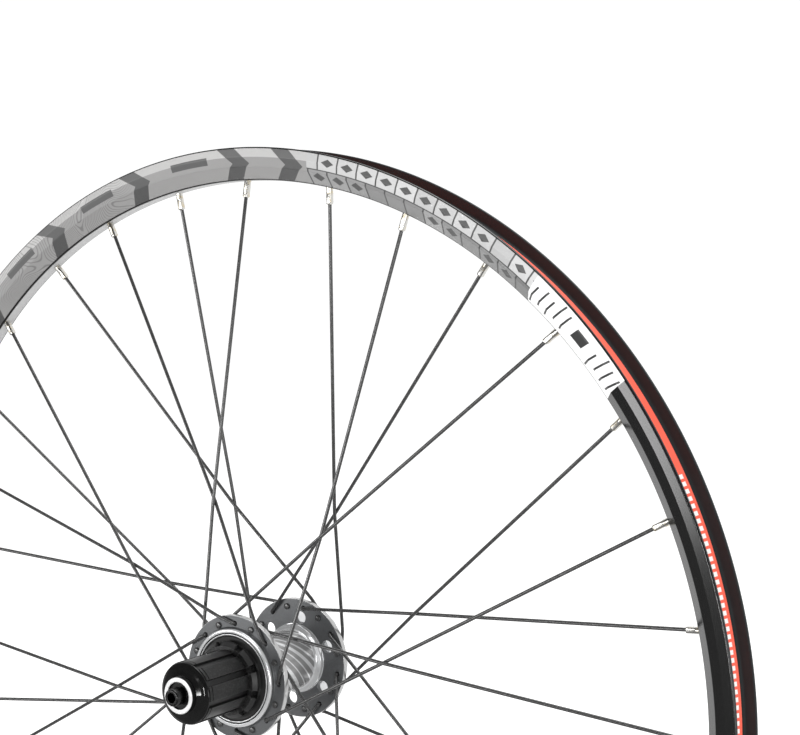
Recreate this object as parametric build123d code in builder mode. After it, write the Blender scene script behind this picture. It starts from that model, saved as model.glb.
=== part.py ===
from build123d import *
import math
import os

os.makedirs("parts", exist_ok=True)

# A rear bicycle wheel for a disc brake. All sizes are in millimetres.
# The axle lies along Y with the wheel's centre at the origin. The drive side faces -Y,
# the brake disc side faces +Y, the wheel rolls towards +X and Z points up.
# Angles are counted from +X towards +Z, as seen from the drive side.

# Rim: a double-walled section for a tyre of 584 mm bead seat, called 27.5 inch
bead_seat_d = 584.0
lip_height = 6.0
lip_thickness = 2.0
rim_width = 26.8
rim_depth = 18.0
side_height = 5.5
facet_height = 11.0
facet_width = 23.6
bed_width = 8.4
bed_thickness = 2.2
skin_thickness = 1.9
facet_thickness = 2.1
cavity_inset = 0.2
well_width = 12.0
well_depth = 3.0
valve_hole_d = 6.5
valve_after = 10

# Tape that covers the tyre bed
tape_width = 18.8
tape_thickness = 0.8
tape_hole_d = 8.0

# Lacing: three crosses, the outermost one woven
spokes_per_flange = 16
crosses = 3
spoke_d = 2.0
spoke_head_d = 3.8
spoke_head_height = 1.1
spoke_head_taper = 25
elbow = 1.1
elbow_gap = 0.3
weave_gap = 0.3
lacing_turn = 3.25
wire_sides = 8

# Nipples
nipple_d = 3.9
nipple_head_d = 6.0
nipple_head_height = 1.7
nipple_head_taper = 30
nipple_head_gap = 0.5
nipple_reach = 9.5
nipple_offset = 1.7
nipple_clearance = 0.25
thread_clearance = 0.03

# Places along the axle, measured inwards from the locknut's face on the same side
over_locknuts = 135.0
drive_flange_inset = 50.1
disc_flange_inset = 29.2
driver_inset = 6.9
rotor_inset = 15.3

# Hub shell: the drive side grows outwards from the ratchet's bore
ratchet_bore_d = 44.0
mouth_wall = 2.4
lip_width = 3.5
lip_bevel = 0.6
lip_reach = 3.3
hole_margin = 2.8
hole_edge = 4.7
spoke_hole_d = 2.8
flange_thickness = 3.2
shell_neck_wall = 4.0
shell_neck_length = 6.8
shell_taper_length = 6.0
barrel_d = 35.0
barrel_ring_width = 2.8
barrel_ring_length = 3.4
barrel_ring_taper = 1.0
sleeve_bore_d = 18.0
window_d = 7.6
window_web = 0.9
window_turn = 25.0
window_count = 6

# Brake disc mount with six threaded bosses
rotor_bolt_circle_d = 44.0
rotor_bolt_hole_d = 4.2
rotor_bolt_count = 6
rotor_boss_d = 10.4
rotor_plate_d = 40.0
rotor_plate_thickness = 8.4
rotor_spigot_d = 34.95
rotor_spigot_length = 3.0

# Sealed bearings, all of one size
bearing_bore_d = 12.0
bearing_d = 28.0
bearing_width = 8.0
bearing_clearance = 0.02
end_play = 0.1
drive_bearing_depth = 2.4
disc_bearing_depth = 9.2
outer_bearing_depth = 1.3
inner_bearing_depth = 9.9

# Seal in the shell's mouth
seal_inset = 0.4
seal_length = 2.0
seal_gap = 0.3

# Ratchet
tooth_count = 24
tooth_height = 1.8
ring_wall = 2.6
ratchet_length = 9.5
pawl_count = 3
pawl_inset = 2.6
pawl_knuckle_d = 3.6
pawl_length = 8.0
pawl_start_gap = 0.3
pawl_tip_out = 6.5
pawl_tip_up = 3.44
pawl_tip_height = 1.9
pawl_clearance = 0.25
pawl_lag = 2.9
pocket_end_gap = 1.1

# Leaf springs of the pawls, measured from the pawl's pivot
spring_thickness = 0.3
spring_width = 5.0
spring_lift = 0.18
spring_start_out = 2.2
spring_bend_out = 6.9
spring_tip_out = 4.6
spring_tip_up = 0.7

# Driver body that carries the sprockets
driver_d = 34.9
spline_height = 1.4
spline_count = 9
spline_land = 28.0
spline_turn = 88.0
collar_d = 39.0
collar_tooth_d = 43.4
collar_tooth_land = 29.0
collar_length = 4.1
collar_bevel = 2.0
collar_gap = 1.8
driver_neck_d = 37.0
neck_overlap = 1.7
carrier_clearance = 0.8
carrier_gap = 0.5
driver_bore_d = 22.0
driver_lip_width = 1.0
driver_lip_depth = 0.8

# Axle, end caps and locknuts
axle_stub = 5.5
axle_end_d = 9.6
axle_thread_d = 10.0
axle_bore_d = 5.5
axle_shoulder_d = 16.0
cap_thread_length = 2.6
locknut_d = 20.0
locknut_length = 3.2
locknut_recess_d = 15.0
locknut_recess_depth = 1.6
drive_cap_d = 34.0
disc_cap_d = 27.0
cap_wall = 0.8
cap_shoulder_d = 26.0
cap_shoulder_share = 0.62
cap_nose_lip = 0.2
cap_gap = 0.3
spacer_d = 16.0

# Radii worked out from the sizes above
lip_r = bead_seat_d / 2 + lip_height
bed_r = lip_r - rim_depth
well_r = bead_seat_d / 2 - well_depth
tyre_width = rim_width - 2 * lip_thickness
seat_slope = well_depth / (tyre_width / 2 - well_width / 2)
mouth_r = ratchet_bore_d / 2 + mouth_wall
lip_outer_r = mouth_r + lip_width
hole_r = lip_outer_r + hole_margin
flange_r = hole_r + hole_edge
shell_neck_r = ratchet_bore_d / 2 + shell_neck_wall
barrel_ring_r = barrel_d / 2 + barrel_ring_width
window_r = hole_r - spoke_hole_d / 2 - window_web - window_d / 2
tooth_root_r = ratchet_bore_d / 2 - ring_wall
tooth_tip_r = tooth_root_r - tooth_height
carrier_r = tooth_tip_r - carrier_clearance
pawl_pivot_r = carrier_r - pawl_inset
axle_d = bearing_bore_d - 2 * bearing_clearance
polygon_growth = 1 / math.cos(math.pi / wire_sides)

# Angles worked out from the sizes above
pitch = 360 / spokes_per_flange
lacing_angle = crosses * pitch
valve_angle = lacing_turn + (valve_after + 0.25) * pitch
boss_turn = window_turn + 180 / window_count

# Places along the axle worked out from the sizes above
end_y = over_locknuts / 2
axle_length = over_locknuts + 2 * axle_stub
nose_y = end_y - locknut_length
seat_y = nose_y - cap_thread_length
drive_flange_y = drive_flange_inset - end_y
drive_out = drive_flange_y - flange_thickness / 2
drive_in = drive_flange_y + flange_thickness / 2
disc_flange_y = end_y - disc_flange_inset
disc_in = disc_flange_y - flange_thickness / 2
disc_out = disc_flange_y + flange_thickness / 2
mouth_y = drive_out - lip_reach
shell_neck_y = drive_in + shell_neck_length
barrel_start_y = shell_neck_y + shell_taper_length
seal_end_y = mouth_y + seal_inset
ratchet_start_y = seal_end_y + seal_length
ratchet_end_y = ratchet_start_y + ratchet_length
pawl_start_y = ratchet_start_y + pawl_start_gap
drive_bearing_y = ratchet_end_y + drive_bearing_depth
rotor_face_y = end_y - rotor_inset
spigot_end_y = rotor_face_y + rotor_spigot_length
disc_bearing_y = spigot_end_y - disc_bearing_depth
driver_end_y = driver_inset - end_y
collar_y = mouth_y - collar_gap
spline_end_y = collar_y - collar_length
driver_neck_y = mouth_y + neck_overlap
carrier_end_y = ratchet_end_y - carrier_gap
outer_driver_bearing_y = driver_end_y + outer_bearing_depth
inner_driver_bearing_y = collar_y - inner_bearing_depth


def at(radius, angle, y):
    """A point at a radius and angle about the axle."""
    turn = math.radians(angle)
    return Vector(radius * math.cos(turn), y, radius * math.sin(turn))


def tube(outer_d, inner_d, start_y, stop_y):
    """A plain sleeve around the axle."""
    with BuildPart() as sleeve:
        with BuildSketch(Plane.XZ.offset(-start_y)):
            Circle(outer_d / 2)
            Circle(inner_d / 2, mode=Mode.SUBTRACT)
        extrude(amount=start_y - stop_y)
    return sleeve.part


def sector(diameter, angle):
    """A slice of a disc, centred on the X axis of its sketch."""
    with BuildSketch() as slice_of_disc:
        with BuildLine():
            rim_arc = CenterArc((0, 0), diameter / 2, -angle / 2, angle)
            Polyline(rim_arc @ 1, (0, 0), rim_arc @ 0)
        make_face()
    return slice_of_disc.sketch


def spoke_route(flange_y, outward, lie, hole_angle):
    """Corner points of one spoke, from its head to its thread, and the direction of its thread.

    outward is the side of the wheel, -1 or 1 along Y. lie is 1 where the spoke runs along the
    flange's outer face and -1 where it runs along the inner face.
    """
    away = outward * lie
    turn = lie * lacing_angle
    wire_y = flange_y + away * (flange_thickness / 2 + elbow_gap + spoke_d / 2)
    head = at(hole_r, hole_angle, flange_y - away * flange_thickness / 2)
    corner = at(hole_r, hole_angle, wire_y)
    seat = at(bed_r, hole_angle + turn, outward * nipple_offset)
    # the last crossing lies on the ray midway between the two spokes that are woven there
    last = lacing_angle - pitch / 2
    cross_r = (
        hole_r * bed_r * math.sin(math.radians(lacing_angle))
        / (bed_r * math.sin(math.radians(pitch / 2)) + hole_r * math.sin(math.radians(last)))
    )
    cross = at(cross_r, hole_angle + lie * last, 0)
    flat_hole = at(hole_r, hole_angle, 0)
    flat_seat = at(bed_r, hole_angle + turn, 0)
    share = (cross - flat_hole).length / (flat_seat - flat_hole).length
    cross_y = flange_y + share * (seat.Y - flange_y) - away * (spoke_d + weave_gap) / 2
    cross = Vector(cross.X, cross_y, cross.Z)
    along = (flat_seat - flat_hole).normalized()
    route = [head, corner - Vector(0, away * elbow, 0), corner + along * elbow]
    if lie > 0:
        radial = along.dot(flat_hole)
        clear_r = flange_r + spoke_d / 2
        route.append(corner + along * (math.sqrt(radial**2 + clear_r**2 - hole_r**2) - radial))
    thread = (seat - cross).normalized()
    route += [cross, seat + thread * bed_thickness]
    return route, thread


def make_spoke(flange_y, outward, lie, hole_angle):
    """One bent spoke with its head."""
    route, thread = spoke_route(flange_y, outward, lie, hole_angle)
    head_way = Vector(0, -outward * lie, 0)
    with BuildPart() as spoke:
        with BuildLine():
            wire = Polyline(*route)
        with BuildSketch(Plane(route[0], z_dir=-head_way)):
            RegularPolygon(spoke_d / 2, wire_sides)
        sweep(path=wire, transition=Transition.RIGHT)
        with BuildSketch(Plane(route[0], z_dir=head_way)):
            RegularPolygon(spoke_head_d / 2, wire_sides)
        extrude(amount=spoke_head_height, taper=spoke_head_taper)
    return spoke.part


def turned(piece, angle):
    """A copy of a piece, turned about the axle from +X towards +Z."""
    with BuildPart() as copy:
        with Locations(Rotation(0, -angle, 0)):
            add(piece)
    return copy.part


# Spokes: the first of each kind is bent, and the others are the same spoke further round the hub.
# Each one's nipple stands where it enters the rim.
pieces = {}
nipple_planes = {"drive": [], "disc": []}
for side, flange_y, outward, phase in (
    ("drive", drive_flange_y, -1, lacing_turn),
    ("disc", disc_flange_y, 1, lacing_turn + pitch / 2),
):
    for lie_name, lie, first in (("outer", 1, 0), ("inner", -1, 1)):
        first_angle = phase + first * pitch
        first_spoke = make_spoke(flange_y, outward, lie, first_angle)
        for i in range(spokes_per_flange // 2):
            turn = 2 * i * pitch
            pieces[f"spoke_{side}_{lie_name}_{i + 1}"] = turned(first_spoke, turn)
            route, thread = spoke_route(flange_y, outward, lie, first_angle + turn)
            seat = route[-1] - thread * bed_thickness
            nipple_planes[side].append(Plane(seat, x_dir=(0, 1, 0), z_dir=thread))

# One nipple on its own axis: the spoke bed lies at zero and the tyre above it
head_start = bed_thickness + nipple_head_gap
head_end = head_start + nipple_head_height
with BuildPart() as nipple:
    with BuildSketch(Plane.XY.offset(-nipple_reach)):
        RegularPolygon(nipple_d / 2, wire_sides)
    extrude(amount=nipple_reach + head_end)
    with BuildSketch(Plane.XY.offset(head_end)):
        RegularPolygon(nipple_head_d / 2, wire_sides)
    extrude(amount=-nipple_head_height, taper=nipple_head_taper)
    with BuildSketch(Plane.XY.offset(-nipple_reach)):
        RegularPolygon((spoke_d / 2 + thread_clearance) * polygon_growth, wire_sides)
    extrude(amount=nipple_reach + head_end, mode=Mode.SUBTRACT)
for side, planes in nipple_planes.items():
    with BuildPart() as nipples:
        with Locations(*planes):
            add(nipple.part)
    pieces[f"nipples_{side}"] = nipples.part

# The hole that one nipple needs in the spoke bed
with BuildPart() as nipple_hole:
    with BuildSketch(Plane.XY.offset(-bed_thickness)):
        RegularPolygon(nipple_d / 2 + nipple_clearance, wire_sides)
    extrude(amount=bed_thickness + head_start)

# Rim: the section is drawn as radius along X and width along Y, then turned about the axle
with BuildPart() as rim:
    with BuildSketch(Plane.XY):
        with BuildLine():
            Polyline(
                (bed_r, 0),
                (bed_r, bed_width / 2),
                (lip_r - facet_height, facet_width / 2),
                (lip_r - side_height, rim_width / 2),
                (lip_r, rim_width / 2),
                (lip_r, tyre_width / 2),
                (bead_seat_d / 2, tyre_width / 2),
                (well_r, well_width / 2),
                (well_r, 0),
            )
            mirror(about=Plane.XZ)
        make_face()
        with BuildLine():
            Polyline(
                (bed_r + bed_thickness, 0),
                (bed_r + bed_thickness, bed_width / 2 - cavity_inset),
                (lip_r - facet_height + skin_thickness, facet_width / 2 - facet_thickness),
                (well_r - skin_thickness, well_width / 2),
                (well_r - skin_thickness, 0),
            )
            mirror(about=Plane.XZ)
        make_face(mode=Mode.SUBTRACT)
    revolve(axis=Axis.Y)
    with Locations(*nipple_planes["drive"], *nipple_planes["disc"]):
        add(nipple_hole.part, mode=Mode.SUBTRACT)
    with BuildSketch(Plane(at(0, 0, 0), x_dir=(0, 1, 0), z_dir=at(1, valve_angle, 0))):
        Circle(valve_hole_d / 2)
    extrude(amount=lip_r, mode=Mode.SUBTRACT)
pieces["rim"] = rim.part

# Tape: it lies on the tyre bed and has a hole for the valve
tape_edge = tape_width / 2
tape_edge_r = well_r + seat_slope * (tape_edge - well_width / 2)
with BuildPart() as rim_tape:
    with BuildSketch(Plane.XY):
        with BuildLine():
            Polyline(
                (well_r, 0),
                (well_r, well_width / 2),
                (tape_edge_r, tape_edge),
                (tape_edge_r + tape_thickness, tape_edge),
                (well_r + tape_thickness, well_width / 2 - tape_thickness / 2),
                (well_r + tape_thickness, 0),
            )
            mirror(about=Plane.XZ)
        make_face()
    revolve(axis=Axis.Y)
    with BuildSketch(Plane(at(0, 0, 0), x_dir=(0, 1, 0), z_dir=at(1, valve_angle, 0))):
        Circle(tape_hole_d / 2)
    extrude(amount=lip_r, mode=Mode.SUBTRACT)
pieces["rim_tape"] = rim_tape.part

# Hub shell: turned outline, bored for the ratchet and both bearings, then drilled
with BuildPart() as hub_shell:
    with BuildSketch(Plane.XY):
        with BuildLine():
            Polyline(
                (mouth_r, mouth_y),
                (lip_outer_r - lip_bevel, mouth_y),
                (lip_outer_r, mouth_y + lip_bevel),
                (lip_outer_r, drive_out),
                (flange_r, drive_out),
                (flange_r, drive_in),
                (shell_neck_r, drive_in),
                (shell_neck_r, shell_neck_y),
                (barrel_d / 2, barrel_start_y),
                (barrel_d / 2, disc_in - barrel_ring_length),
                (barrel_ring_r, disc_in - barrel_ring_length + barrel_ring_taper),
                (barrel_ring_r, disc_in),
                (flange_r, disc_in),
                (flange_r, disc_out),
                (rotor_spigot_d / 2, disc_out),
                (rotor_spigot_d / 2, spigot_end_y),
                (bearing_d / 2, spigot_end_y),
                (bearing_d / 2, disc_bearing_y),
                (sleeve_bore_d / 2, disc_bearing_y),
                (sleeve_bore_d / 2, drive_bearing_y + bearing_width),
                (bearing_d / 2, drive_bearing_y + bearing_width),
                (bearing_d / 2, ratchet_end_y),
                (ratchet_bore_d / 2, ratchet_end_y),
                (ratchet_bore_d / 2, ratchet_start_y),
                (mouth_r, ratchet_start_y),
                close=True,
            )
        make_face()
    revolve(axis=Axis.Y)
    with BuildSketch(Plane.XZ.offset(-rotor_face_y)):
        Circle(rotor_plate_d / 2)
        with PolarLocations(rotor_bolt_circle_d / 2, rotor_bolt_count, boss_turn):
            Circle(rotor_boss_d / 2)
        Circle(rotor_spigot_d / 2, mode=Mode.SUBTRACT)
    extrude(amount=rotor_plate_thickness)
    with BuildSketch(Plane.XZ.offset(-rotor_face_y)):
        with PolarLocations(rotor_bolt_circle_d / 2, rotor_bolt_count, boss_turn):
            Circle(rotor_bolt_hole_d / 2)
    extrude(amount=rotor_plate_thickness, mode=Mode.SUBTRACT)
    with BuildSketch(Plane.XZ.offset(-disc_out)):
        with PolarLocations(window_r, window_count, window_turn):
            Circle(window_d / 2)
        with PolarLocations(hole_r, spokes_per_flange, lacing_turn + pitch / 2):
            RegularPolygon(spoke_hole_d / 2, wire_sides)
    extrude(amount=flange_thickness, mode=Mode.SUBTRACT)
    with BuildSketch(Plane.XZ.offset(-drive_in)):
        with PolarLocations(hole_r, spokes_per_flange, lacing_turn):
            RegularPolygon(spoke_hole_d / 2, wire_sides)
    extrude(amount=flange_thickness, mode=Mode.SUBTRACT)
pieces["hub_shell"] = hub_shell.part

# Four sealed bearings, each one closed unit that is pressed into its housing
for name, start_y in (
    ("drive_hub_bearing", drive_bearing_y),
    ("disc_hub_bearing", disc_bearing_y),
    ("outer_driver_bearing", outer_driver_bearing_y),
    ("inner_driver_bearing", inner_driver_bearing_y),
):
    pieces[name] = tube(bearing_d, bearing_bore_d, start_y, start_y + bearing_width)

# Ratchet ring: saw teeth whose steep faces meet the pawls' tips
tip_angle = 90 - math.degrees(math.atan2(pawl_tip_out, pawl_pivot_r + pawl_tip_up))
tooth_pitch = 360 / tooth_count
with BuildPart() as ratchet_ring:
    with BuildSketch(Plane.XZ.offset(-ratchet_start_y)):
        Circle(ratchet_bore_d / 2)
        with BuildLine():
            teeth = []
            for i in range(tooth_count):
                face_angle = math.radians(tip_angle - pawl_lag + i * tooth_pitch)
                for r in (tooth_tip_r, tooth_root_r):
                    teeth.append((r * math.cos(face_angle), r * math.sin(face_angle)))
            Polyline(*teeth, close=True)
        make_face(mode=Mode.SUBTRACT)
    extrude(amount=ratchet_start_y - ratchet_end_y)
pieces["ratchet_ring"] = ratchet_ring.part

# Seal between the shell and the driver body
seal_bore_d = driver_neck_d + 2 * seal_gap
pieces["driver_seal"] = tube(2 * mouth_r, seal_bore_d, seal_end_y, ratchet_start_y)

# Driver body: splined outside, bored for two bearings, with pockets for the pawls
knuckle_r = pawl_knuckle_d / 2 + pawl_clearance
pocket_out = pawl_tip_out + pocket_end_gap
pocket_floor_up = -knuckle_r / 4
collar_tooth_r = collar_tooth_d / 2
lip_bore_r = bearing_d / 2 + driver_lip_width
with BuildPart() as driver_body:
    with BuildSketch(Plane.XZ.offset(-driver_end_y)):
        Circle(driver_d / 2 - spline_height)
        with PolarLocations(0, spline_count, spline_turn):
            add(sector(driver_d, spline_land))
    extrude(amount=driver_end_y - spline_end_y)
    with BuildSketch(Plane.XZ.offset(-spline_end_y)):
        Circle(collar_d / 2)
        with PolarLocations(0, spline_count, spline_turn):
            add(sector(collar_tooth_d, collar_tooth_land))
    extrude(amount=spline_end_y - collar_y)
    with BuildSketch(Plane.XY):
        with BuildLine():
            Polyline(
                (collar_tooth_r - collar_bevel, spline_end_y),
                (collar_tooth_r + collar_bevel, spline_end_y),
                (collar_tooth_r + collar_bevel, spline_end_y + 2 * collar_bevel),
                close=True,
            )
        make_face()
    revolve(axis=Axis.Y, mode=Mode.SUBTRACT)
    with BuildSketch(Plane.XZ.offset(-collar_y)):
        Circle(driver_neck_d / 2)
    extrude(amount=collar_y - driver_neck_y)
    with BuildSketch(Plane.XZ.offset(-driver_neck_y)):
        Circle(carrier_r)
    extrude(amount=driver_neck_y - carrier_end_y)
    with BuildSketch(Plane.XY):
        with BuildLine():
            Polyline(
                (0, driver_end_y),
                (lip_bore_r, driver_end_y),
                (lip_bore_r, driver_end_y + driver_lip_depth),
                (bearing_d / 2, driver_end_y + driver_lip_depth),
                (bearing_d / 2, outer_driver_bearing_y + bearing_width),
                (driver_bore_d / 2, outer_driver_bearing_y + bearing_width),
                (driver_bore_d / 2, inner_driver_bearing_y),
                (bearing_d / 2, inner_driver_bearing_y),
                (bearing_d / 2, inner_driver_bearing_y + bearing_width),
                (sleeve_bore_d / 2, inner_driver_bearing_y + bearing_width),
                (sleeve_bore_d / 2, carrier_end_y),
                (0, carrier_end_y),
                close=True,
            )
        make_face()
    revolve(axis=Axis.Y, mode=Mode.SUBTRACT)
    with BuildSketch(Plane.XZ.offset(-pawl_start_y + pawl_clearance)):
        with PolarLocations(0, pawl_count):
            with Locations((0, pawl_pivot_r)):
                Circle(knuckle_r)
                Polygon(
                    (-knuckle_r, 0),
                    (0, -knuckle_r),
                    (pocket_out, pocket_floor_up),
                    (pocket_out, 2 * pawl_tip_up),
                    (-knuckle_r, 2 * pawl_tip_up),
                    align=None,
                )
    extrude(amount=-pawl_length - 2 * pawl_clearance, mode=Mode.SUBTRACT)
pieces["driver_body"] = driver_body.part

# Pawls: a round knuckle and an arm whose tip meets a tooth's steep face
tip_turn = math.radians(90 - tip_angle)
tip = Vector(pawl_tip_out, pawl_tip_up)
tip_foot = tip - Vector(math.sin(tip_turn), math.cos(tip_turn)) * pawl_tip_height
for i in range(pawl_count):
    with BuildPart() as pawl:
        with BuildSketch(Plane.XZ.offset(-pawl_start_y)):
            with PolarLocations(0, 1, i * 360 / pawl_count):
                with Locations((0, pawl_pivot_r)):
                    Circle(pawl_knuckle_d / 2)
                    Polygon(
                        (0, pawl_knuckle_d / 2),
                        (0, -pawl_knuckle_d / 2),
                        (tip_foot.X, tip_foot.Y),
                        (tip.X, tip.Y),
                        align=None,
                    )
        extrude(amount=-pawl_length)
    pieces[f"pawl_{i + 1}"] = pawl.part

# Leaf springs that lie on the pockets' floors and lift the pawls
floor_rise = (knuckle_r + pocket_floor_up) / pocket_out
floor_up = spring_lift - knuckle_r
with BuildSketch() as leaf:
    with BuildLine():
        Polyline(
            (spring_start_out, floor_up + floor_rise * spring_start_out),
            (spring_bend_out, floor_up + floor_rise * spring_bend_out),
            (spring_tip_out, spring_tip_up),
        )
    trace(line_width=spring_thickness)
for i in range(pawl_count):
    with BuildPart() as pawl_spring:
        with BuildSketch(Plane.XZ.offset(-pawl_start_y - (pawl_length - spring_width) / 2)):
            with PolarLocations(0, 1, i * 360 / pawl_count):
                with Locations((0, pawl_pivot_r)):
                    add(leaf.sketch)
        extrude(amount=-spring_width)
    pieces[f"pawl_spring_{i + 1}"] = pawl_spring.part

# Axle with a shoulder between the hub's bearings
shoulder_start_y = drive_bearing_y + bearing_width + end_play
shoulder_end_y = disc_bearing_y - end_play
with BuildPart() as axle:
    with BuildSketch(Plane.XY):
        with BuildLine():
            Polyline(
                (axle_bore_d / 2, -axle_length / 2),
                (axle_end_d / 2, -axle_length / 2),
                (axle_end_d / 2, -end_y + locknut_recess_depth),
                (axle_thread_d / 2, -end_y + locknut_recess_depth),
                (axle_thread_d / 2, -seat_y),
                (axle_d / 2, -seat_y),
                (axle_d / 2, shoulder_start_y),
                (axle_shoulder_d / 2, shoulder_start_y),
                (axle_shoulder_d / 2, shoulder_end_y),
                (axle_d / 2, shoulder_end_y),
                (axle_d / 2, seat_y),
                (axle_thread_d / 2, seat_y),
                (axle_thread_d / 2, end_y - locknut_recess_depth),
                (axle_end_d / 2, end_y - locknut_recess_depth),
                (axle_end_d / 2, axle_length / 2),
                (axle_bore_d / 2, axle_length / 2),
                close=True,
            )
        make_face()
    revolve(axis=Axis.Y)
pieces["axle"] = axle.part

# Spacers between the bearings on the drive side
driver_spacer_start = outer_driver_bearing_y + bearing_width + end_play
driver_spacer_end = inner_driver_bearing_y - end_play
pieces["driver_spacer"] = tube(spacer_d, axle_d, driver_spacer_start, driver_spacer_end)
hub_spacer_start = inner_driver_bearing_y + bearing_width + end_play
hub_spacer_end = drive_bearing_y - end_play
pieces["hub_spacer"] = tube(spacer_d, axle_d, hub_spacer_start, hub_spacer_end)


def end_cap(outward, base_y, base_d):
    """A domed dust cap on the axle, from the bearing out to the locknut."""
    wall_y = base_y + cap_wall
    shoulder_y = wall_y + cap_shoulder_share * (nose_y - wall_y)
    with BuildPart() as cap:
        with BuildSketch(Plane.XY):
            with BuildLine():
                Polyline(
                    (axle_thread_d / 2, outward * nose_y),
                    (axle_thread_d / 2, outward * seat_y),
                    (axle_d / 2, outward * seat_y),
                    (axle_d / 2, outward * base_y),
                    (base_d / 2, outward * base_y),
                    (base_d / 2, outward * wall_y),
                    (cap_shoulder_d / 2, outward * shoulder_y),
                    (locknut_d / 2 + cap_nose_lip, outward * nose_y),
                    close=True,
                )
            make_face()
        revolve(axis=Axis.Y)
    return cap.part


pieces["drive_end_cap"] = end_cap(-1, -driver_end_y + cap_gap, drive_cap_d)
pieces["disc_end_cap"] = end_cap(1, spigot_end_y + cap_gap, disc_cap_d)


def locknut(outward):
    """A ring on the axle's thread, recessed on the face that meets the frame."""
    face = Plane.XZ.offset(-outward * end_y)
    with BuildPart() as nut:
        with BuildSketch(face):
            Circle(locknut_d / 2)
            Circle(axle_thread_d / 2, mode=Mode.SUBTRACT)
        extrude(amount=outward * locknut_length)
        with BuildSketch(face):
            Circle(locknut_recess_d / 2)
        extrude(amount=outward * locknut_recess_depth, mode=Mode.SUBTRACT)
    return nut.part


pieces["drive_locknut"] = locknut(-1)
pieces["disc_locknut"] = locknut(1)

for name, piece in pieces.items():
    piece.label = name
    export_step(piece, f"parts/{name}.step")
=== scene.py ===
from math import radians

import bmesh
import bpy
import numpy as np
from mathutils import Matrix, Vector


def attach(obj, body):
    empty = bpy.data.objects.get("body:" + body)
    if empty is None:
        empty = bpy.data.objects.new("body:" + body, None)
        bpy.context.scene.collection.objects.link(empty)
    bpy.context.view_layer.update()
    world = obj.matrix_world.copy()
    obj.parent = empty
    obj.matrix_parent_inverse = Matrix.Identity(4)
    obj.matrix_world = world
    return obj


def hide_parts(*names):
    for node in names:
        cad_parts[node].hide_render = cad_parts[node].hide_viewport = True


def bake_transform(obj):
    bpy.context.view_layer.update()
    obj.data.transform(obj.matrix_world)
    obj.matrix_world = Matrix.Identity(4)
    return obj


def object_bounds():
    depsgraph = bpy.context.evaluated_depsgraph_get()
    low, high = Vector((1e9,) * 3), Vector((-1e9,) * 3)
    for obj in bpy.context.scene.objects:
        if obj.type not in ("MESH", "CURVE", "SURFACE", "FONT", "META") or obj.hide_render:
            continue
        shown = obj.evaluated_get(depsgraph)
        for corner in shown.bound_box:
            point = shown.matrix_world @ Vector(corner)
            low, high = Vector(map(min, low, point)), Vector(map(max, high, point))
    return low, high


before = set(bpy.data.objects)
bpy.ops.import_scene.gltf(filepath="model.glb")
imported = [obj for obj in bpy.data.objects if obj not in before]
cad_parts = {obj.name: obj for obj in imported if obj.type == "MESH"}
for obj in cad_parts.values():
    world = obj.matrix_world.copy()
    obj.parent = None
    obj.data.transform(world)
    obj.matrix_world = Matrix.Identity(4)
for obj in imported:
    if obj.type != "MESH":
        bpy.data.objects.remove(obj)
cad_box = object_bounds()

# Sizes are in millimetres, as in the part's source. The axle lies along Y, the drive side faces -Y,
# and angles are in degrees from +X towards +Z.
MILLIMETRE = 0.001
UP_Y = np.array([0.0, 1.0, 0.0])
SHARP_ANGLE = 38.0

# Rim section and tape
lip_r = 298.0
lip_thickness = 2.0
half_width = 13.4
facet_r = 292.5
knee_r = 287.0
knee_half = 11.8
bed_r = 280.0
bed_half = 4.2
bed_thickness = 2.2
seat_r = 292.0
well_r = 289.0
well_half = 6.0
tape_half = 9.4
tape_thickness = 0.8
valve_angle = 233.875
valve_hole_d = 6.5
tape_hole_d = 8.0

# Places and pitches of the print along the rim, in degrees
strokes_start = 39.3
patch_middle = 45.36
tiles_start = 52.7
field_start = 83.4
contours_start = 112.0
field_end = 163.0
stroke_pitch = 1.12
tile_pitch = 2.6
shape_pitch = 7.4

# Dashes on the tape: how many in a quarter turn, where a quarter starts and how far out they lie
tape_dashes = 120.0
tape_dash_shift = 0.17
tape_row_in = 5.0
tape_row_out = 7.6

# Lacing
pitch = 22.5
lacing_angle = 67.5
lacing_turn = 3.25
hole_r = 30.7
spoke_d = 2.0
spoke_hole_d = 2.8
head_d = 3.8
head_height = 1.1
wire_gap = 0.3
elbow_r = 1.7
weave_r = 14.0
nipple_d = 3.9
nipple_offset = 1.7

# Hub shell
flange_r = 35.4
flange_half = 1.6
flange_edge = 0.5
drive_y = -17.4
drive_out = drive_y - flange_half
drive_in = drive_y + flange_half
disc_y = 38.3
disc_in = disc_y - flange_half
disc_out = disc_y + flange_half
mouth_r = 24.4
mouth_y = -22.3
mouth_lip_r = 27.9
ratchet_bore_r = 22.0
ratchet_start = -19.9
ratchet_end = -10.4
neck_r = 26.0
neck_y = -9.0
barrel_r = 17.5
barrel_start = -3.0
barrel_end = 33.3
ring_r = 20.3
spigot_r = 17.475
spigot_y = 55.2
bearing_r = 14.0
drive_bearing_end = 0.0
disc_bearing_y = 46.0
sleeve_r = 9.0
window_circle_r = 24.6
window_d = 7.6
window_turn = 25.0
rotor_face_y = 52.2
rotor_back_y = 43.8
rotor_plate_r = 20.0
bolt_circle_r = 22.0
boss_r = 5.2
bolt_hole_d = 4.2
seal_y = -21.9
seal_bore_r = 18.8

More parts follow.
